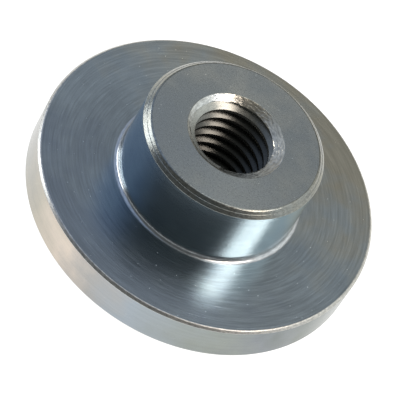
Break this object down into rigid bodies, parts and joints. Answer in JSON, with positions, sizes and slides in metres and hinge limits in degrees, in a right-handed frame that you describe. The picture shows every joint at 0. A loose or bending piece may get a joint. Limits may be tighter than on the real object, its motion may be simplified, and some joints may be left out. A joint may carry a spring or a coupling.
{
  "type": "flanged round nut",
  "caption": "Round nut with a wide plain flange, a chamfered boss and a countersunk M12 threaded hole right through.",
  "frame": {"origin": "centre of the flange's underside, on the thread's axis", "axes": "+Z along the thread's axis, from the flange's underside towards the boss; X and Y are across the flange"},
  "size_m": [0.045, 0.045, 0.0155],
  "materials": {
    "zinc_plated_steel": "turned steel, bright zinc plated with a clear blue passivation"
  },
  "bodies": {
    "root": {"flanged_nut": "zinc_plated_steel"}
  },
  "joints": []
}
